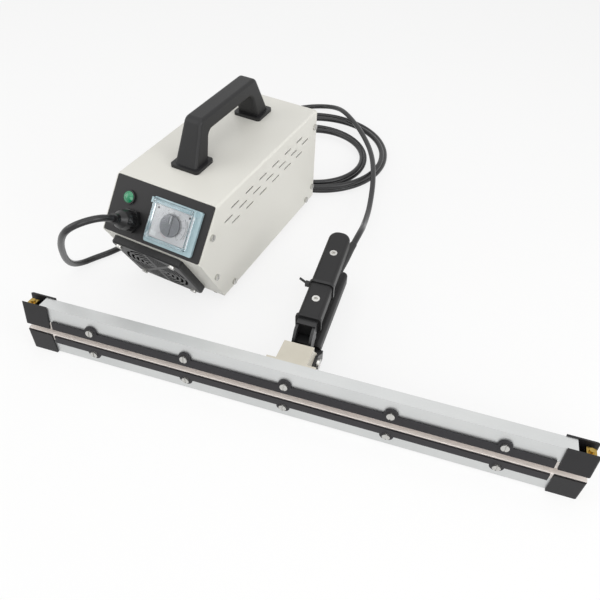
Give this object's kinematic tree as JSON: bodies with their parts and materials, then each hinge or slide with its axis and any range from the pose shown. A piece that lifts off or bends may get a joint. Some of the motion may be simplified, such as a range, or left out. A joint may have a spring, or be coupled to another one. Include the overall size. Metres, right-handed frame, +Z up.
{
  "type": "portable impulse heat sealer",
  "caption": "Portable bag heat sealer: power box with carry handle, timer, lamp and cooling fan, joined by a cord to a hand-held tong with two long heated jaws.",
  "frame": {"origin": "floor point under the middle of the outline of box and tong together, without the cord", "axes": "+X along the long jaws' side of the layout, +Y from the tong's jaws back past the box, +Z up"},
  "size_m": [0.6163, 0.6441, 0.194],
  "materials": {
    "cream_paint": "satin powder coat",
    "black_plastic": "fine matt grain",
    "panel_black": "matt printed foil",
    "steel": "bright zinc",
    "black_rubber": "matt",
    "green_lens": "translucent",
    "lamp_bezel": "gloss",
    "timer_face": "matt",
    "timer_frame": "pale blue translucent",
    "clear_lid": "clear",
    "timer_knob": "grey",
    "core_steel": "laminated",
    "copper": "enamelled copper",
    "switch_red": "gloss",
    "jaw_aluminium": "satin anodised",
    "strip_black": "matt charcoal",
    "heating_alloy": "bare",
    "ptfe": "smooth coated cloth",
    "brass": "bare",
    "bracket_paint": "satin",
    "arm_black": "semi-gloss",
    "spring_steel": "bare"
  },
  "bodies": {
    "base": {"housing_cover": "cream_paint", "chassis": "cream_paint", "rear_panel": "cream_paint", "control_panel": "panel_black", "carry_handle": "black_plastic", "m5_bolts": "steel", "m4_screws": "steel", "rubber_feet": "black_rubber", "lamp_body": "lamp_bezel", "lamp_lens": "green_lens", "timer_body": "timer_face", "timer_frame": "timer_frame", "gland_body": "black_plastic", "gland_nut": "black_plastic", "panel_nuts": "steel", "fan_guard": "black_plastic", "fan_frame": "black_plastic", "fan_screws": "steel", "transformer_core": "core_steel", "transformer_winding": "copper", "power_relay": "black_plastic", "mains_inlet": "black_plastic", "rocker_housing": "black_plastic", "lower_jaw_bracket": "bracket_paint", "upper_arm": "arm_black", "upper_grip": "black_plastic", "upper_grip_screws": "steel", "pivot_pin": "steel", "return_spring": "spring_steel", "switch_body": "black_plastic", "cable_tie": "black_plastic", "cord_sleeve": "black_rubber", "cord_front": "black_rubber", "cord_coil": "black_rubber", "cord_tail": "black_rubber", "lower_jaw_bar": "jaw_aluminium", "lower_end_caps": "black_plastic", "lower_clamp_strips": "strip_black", "lower_strip_screws": "steel", "lower_heating_band": "heating_alloy", "lower_ptfe_cloth": "ptfe", "lower_terminals": "brass"},
    "upper_jaw": {"upper_jaw_bracket": "bracket_paint", "upper_bracket_bolts": "steel", "upper_jaw_bar": "jaw_aluminium", "upper_end_caps": "black_plastic", "upper_clamp_strips": "strip_black", "upper_strip_screws": "steel", "upper_heating_band": "heating_alloy", "upper_ptfe_cloth": "ptfe", "upper_terminals": "brass", "lower_arm": "arm_black", "lower_grip": "black_plastic", "lower_grip_screws": "steel"},
    "fan_impeller": {"fan_impeller": "black_plastic"},
    "timer_knob": {"timer_knob": "timer_knob"},
    "timer_cover": {"timer_cover": "clear_lid"},
    "switch_plunger": {"switch_plunger": "switch_red"},
    "rocker_button": {"rocker_button": "switch_red"}
  },
  "joints": [
    {"name": "jaw_hinge", "type": "hinge", "parent": "base", "child": "upper_jaw", "pos_m": [-0.00703, -0.09529, 0.02885], "axis": [0.9848, 0.1736, 0], "range_deg": [0, 8.5], "stiffness_Nm_per_rad": 6, "springref_deg": -8.59, "deforming": ["return_spring"]},
    {"name": "fan_spin", "type": "hinge", "parent": "base", "child": "fan_impeller", "pos_m": [-0.209, -0.04962, 0.051], "axis": [0, -0.889, -0.4579], "continuous": true},
    {"name": "timer_knob_turn", "type": "hinge", "parent": "base", "child": "timer_knob", "pos_m": [-0.182, -0.06296, 0.11548], "axis": [0, -0.7815, 0.624], "range_deg": [-135, 135]},
    {"name": "timer_cover_lift", "type": "hinge", "parent": "base", "child": "timer_cover", "pos_m": [-0.182, -0.05252, 0.13401], "axis": [-1, 0, 0], "range_deg": [0, 100]},
    {"name": "switch_press", "type": "slide", "parent": "base", "child": "switch_plunger", "axis": [0.0169, -0.0961, 0.9952], "range_m": [0, 0.0015], "stiffness_N_per_m": 300, "springref_m": -0.002},
    {"name": "rocker_press", "type": "hinge", "parent": "base", "child": "rocker_button", "pos_m": [-0.175, 0.1955, 0.055], "axis": [1, 0, 0], "range_deg": [0, 16]}
  ]
}
